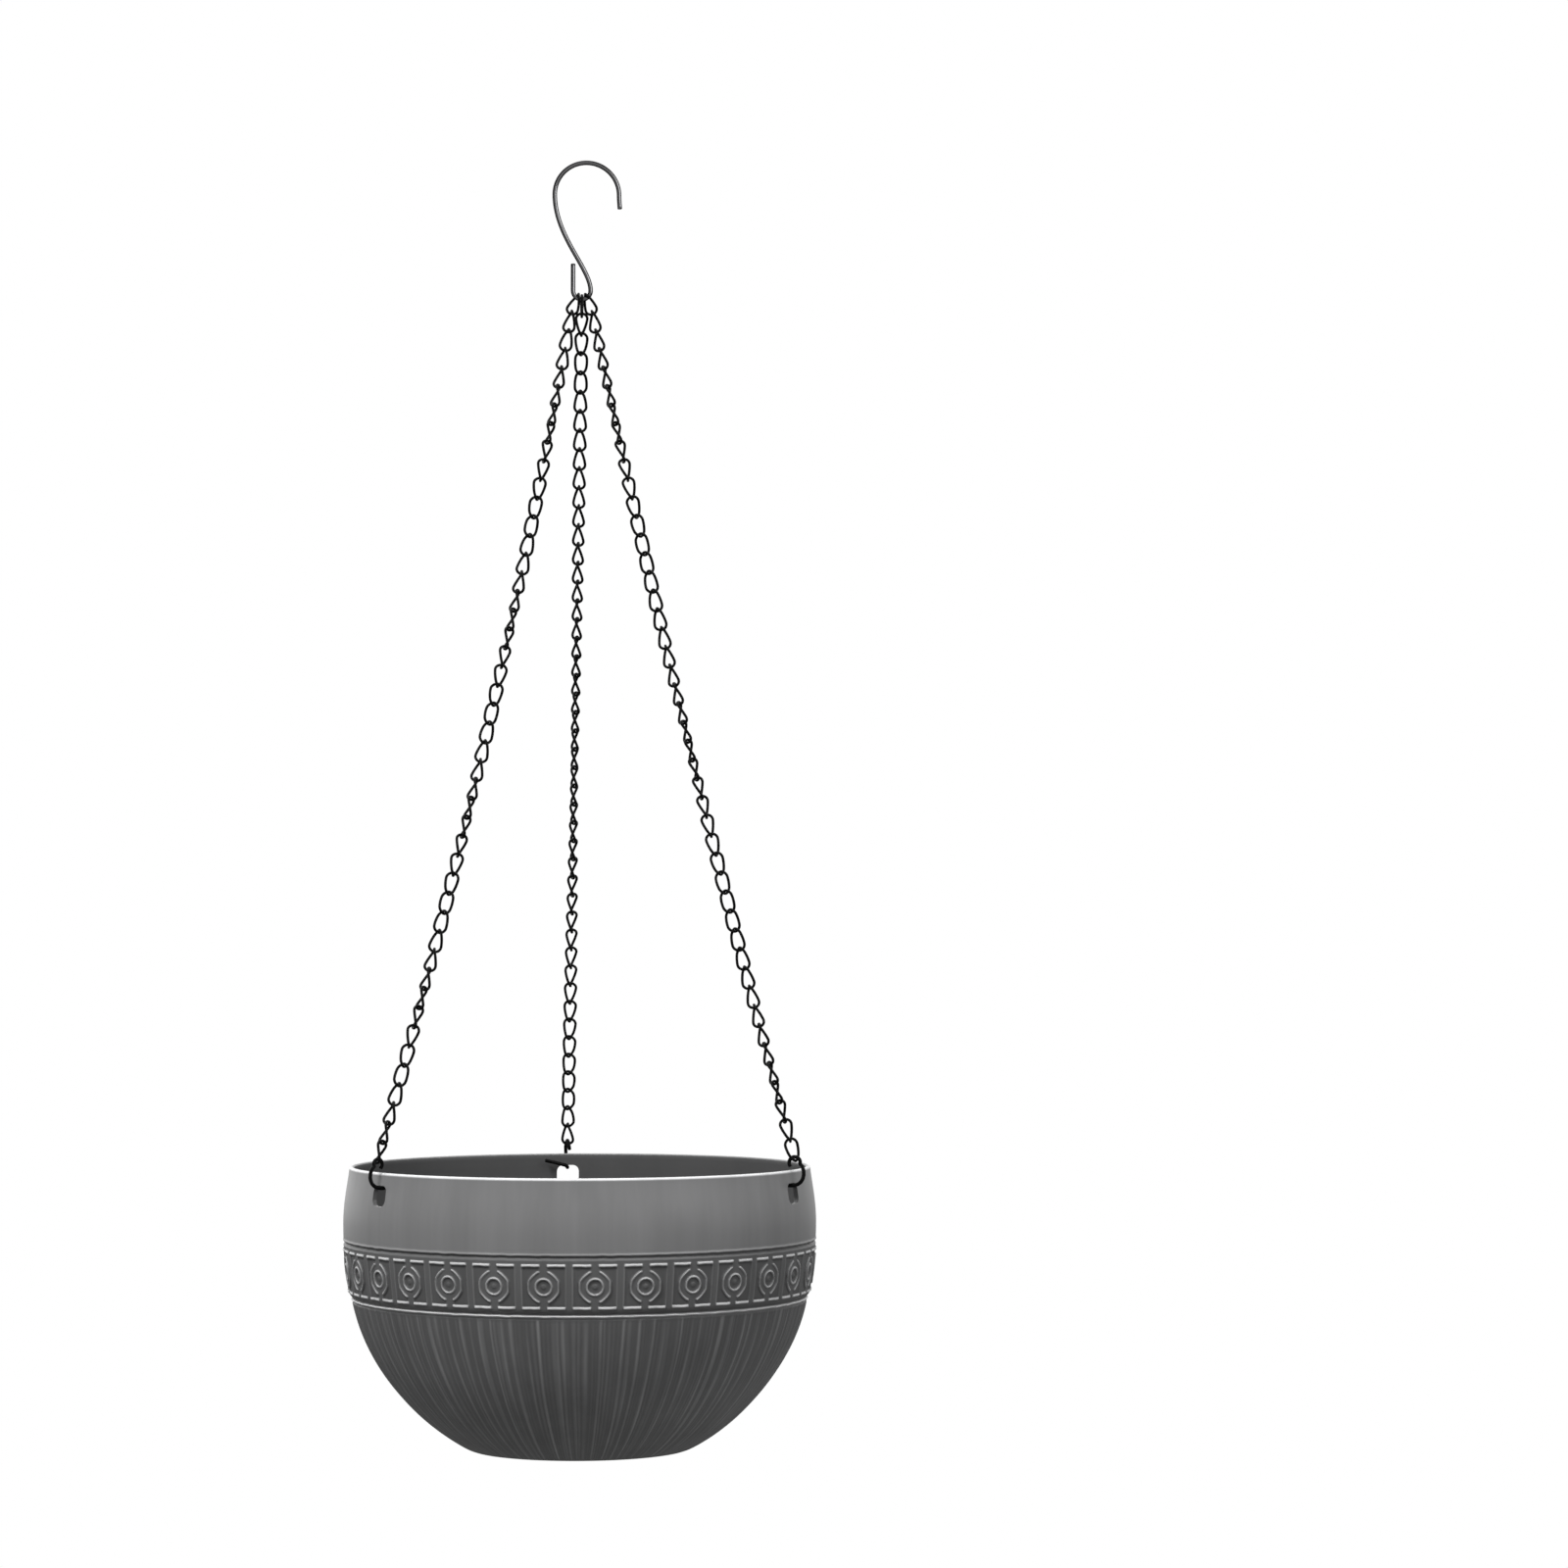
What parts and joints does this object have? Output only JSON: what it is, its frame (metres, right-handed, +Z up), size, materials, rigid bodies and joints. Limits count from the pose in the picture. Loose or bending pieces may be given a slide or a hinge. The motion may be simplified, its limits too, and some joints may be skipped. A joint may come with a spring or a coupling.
{
  "type": "hanging basket",
  "caption": "Hanging planter bowl with an embossed band and ribbed lower body, twisted-link chains, an S-hook and a lift-out reservoir grid with hollow wicking legs.",
  "frame": {"origin": "centre of the bowl's flat base", "axes": "+Z up, from the base towards the hook; the S-hook lies in the XZ plane; -Y is the front, between the left and right chains; one chain hole is at +Y"},
  "size_m": [0.2544, 0.259, 0.6965],
  "materials": {
    "bowl_plastic": "satin mid-grey moulded plastic",
    "grid_plastic": "satin dark-grey moulded plastic",
    "chain_steel": "black coated steel wire, semi-gloss",
    "hook_steel": "bright plated steel wire"
  },
  "bodies": {
    "hook": {"hook": "hook_steel"},
    "top_links": {"top_link_left": "chain_steel", "top_link_right": "chain_steel", "top_link_back": "chain_steel"},
    "basket": {"bowl": "bowl_plastic", "second_link_left": "chain_steel", "chain_left_01": "chain_steel", "chain_left_02": "chain_steel", "chain_left_03": "chain_steel", "chain_left_04": "chain_steel", "chain_left_05": "chain_steel", "chain_left_06": "chain_steel", "chain_left_07": "chain_steel", "chain_left_08": "chain_steel", "chain_left_09": "chain_steel", "chain_left_10": "chain_steel", "chain_left_11": "chain_steel", "chain_left_12": "chain_steel", "chain_left_13": "chain_steel", "chain_left_14": "chain_steel", "chain_left_15": "chain_steel", "chain_hook_left": "chain_steel", "second_link_right": "chain_steel", "chain_right_01": "chain_steel", "chain_right_02": "chain_steel", "chain_right_03": "chain_steel", "chain_right_04": "chain_steel", "chain_right_05": "chain_steel", "chain_right_06": "chain_steel", "chain_right_07": "chain_steel", "chain_right_08": "chain_steel", "chain_right_09": "chain_steel", "chain_right_10": "chain_steel", "chain_right_11": "chain_steel", "chain_right_12": "chain_steel", "chain_right_13": "chain_steel", "chain_right_14": "chain_steel", "chain_right_15": "chain_steel", "chain_hook_right": "chain_steel", "second_link_back": "chain_steel", "chain_back_01": "chain_steel", "chain_back_02": "chain_steel", "chain_back_03": "chain_steel", "chain_back_04": "chain_steel", "chain_back_05": "chain_steel", "chain_back_06": "chain_steel", "chain_back_07": "chain_steel", "chain_back_08": "chain_steel", "chain_back_09": "chain_steel", "chain_back_10": "chain_steel", "chain_back_11": "chain_steel", "chain_back_12": "chain_steel", "chain_back_13": "chain_steel", "chain_back_14": "chain_steel", "chain_back_15": "chain_steel", "chain_hook_back": "chain_steel"},
    "water_grid": {"water_grid": "grid_plastic"}
  },
  "joints": [
    {"name": "swing_side", "type": "hinge", "parent": "hook", "child": "top_links", "pos_m": [0, 0, 0.6257], "axis": [0, 1, 0], "range_deg": [-20, 20]},
    {"name": "swing_front", "type": "hinge", "parent": "top_links", "child": "basket", "pos_m": [0, 0, 0.61253], "axis": [1, 0, 0], "range_deg": [-20, 20]},
    {"name": "grid_lift", "type": "slide", "parent": "basket", "child": "water_grid", "axis": [0, 0, 1], "range_m": [0, 0.155]}
  ]
}
